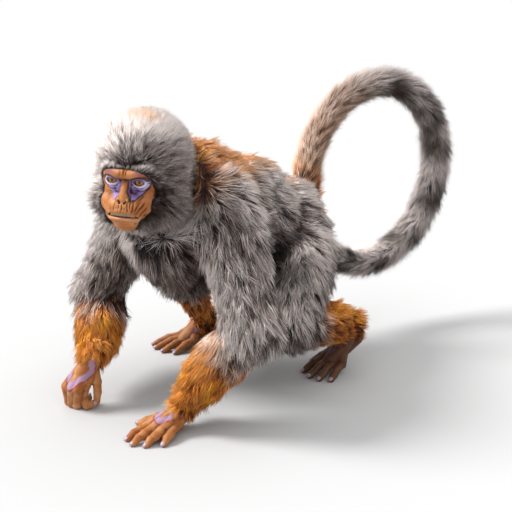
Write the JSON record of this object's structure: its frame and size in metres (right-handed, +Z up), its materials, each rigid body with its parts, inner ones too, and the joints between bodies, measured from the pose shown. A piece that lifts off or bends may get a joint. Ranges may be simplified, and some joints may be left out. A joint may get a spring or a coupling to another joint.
{
  "type": "standing monkey model",
  "caption": "Life-size still model of a long-tailed monkey walking on all fours, with a bare face, bare hands and feet, a thick coat and a high looped tail.",
  "frame": {"origin": "on the floor, under the middle of the box around the whole model", "axes": "+Z up, the head end towards -Y, the monkey's left side towards +X"},
  "size_m": [0.3872, 0.7434, 0.4566],
  "materials": {
    "grey_fur": "long soft grey coat",
    "orange_fur": "long shaggy orange coat",
    "face_skin": "bare wrinkled skin of the face and ears",
    "hand_skin": "bare skin of the hands and feet",
    "eye": "wet glossy eye",
    "tooth": "worn ivory enamel"
  },
  "bodies": {
    "root": {"belly": "grey_fur", "chest": "grey_fur", "ear_left": "face_skin", "ear_right": "face_skin", "eye_left": "eye", "eye_right": "eye", "face": "face_skin", "foot_left": "hand_skin", "foot_right": "hand_skin", "forearm_left": "orange_fur", "forearm_right": "orange_fur", "hand_left": "hand_skin", "hand_right": "hand_skin", "head": "grey_fur", "hips": "grey_fur", "jaw": "face_skin", "neck": "grey_fur", "shin_left": "orange_fur", "shin_right": "orange_fur", "tail_1": "grey_fur", "tail_2": "grey_fur", "tail_3": "grey_fur", "tail_4": "grey_fur", "tail_5": "grey_fur", "teeth_upper": "tooth", "thigh_left": "grey_fur", "thigh_right": "grey_fur", "upper_arm_left": "grey_fur", "upper_arm_right": "grey_fur"}
  },
  "joints": []
}
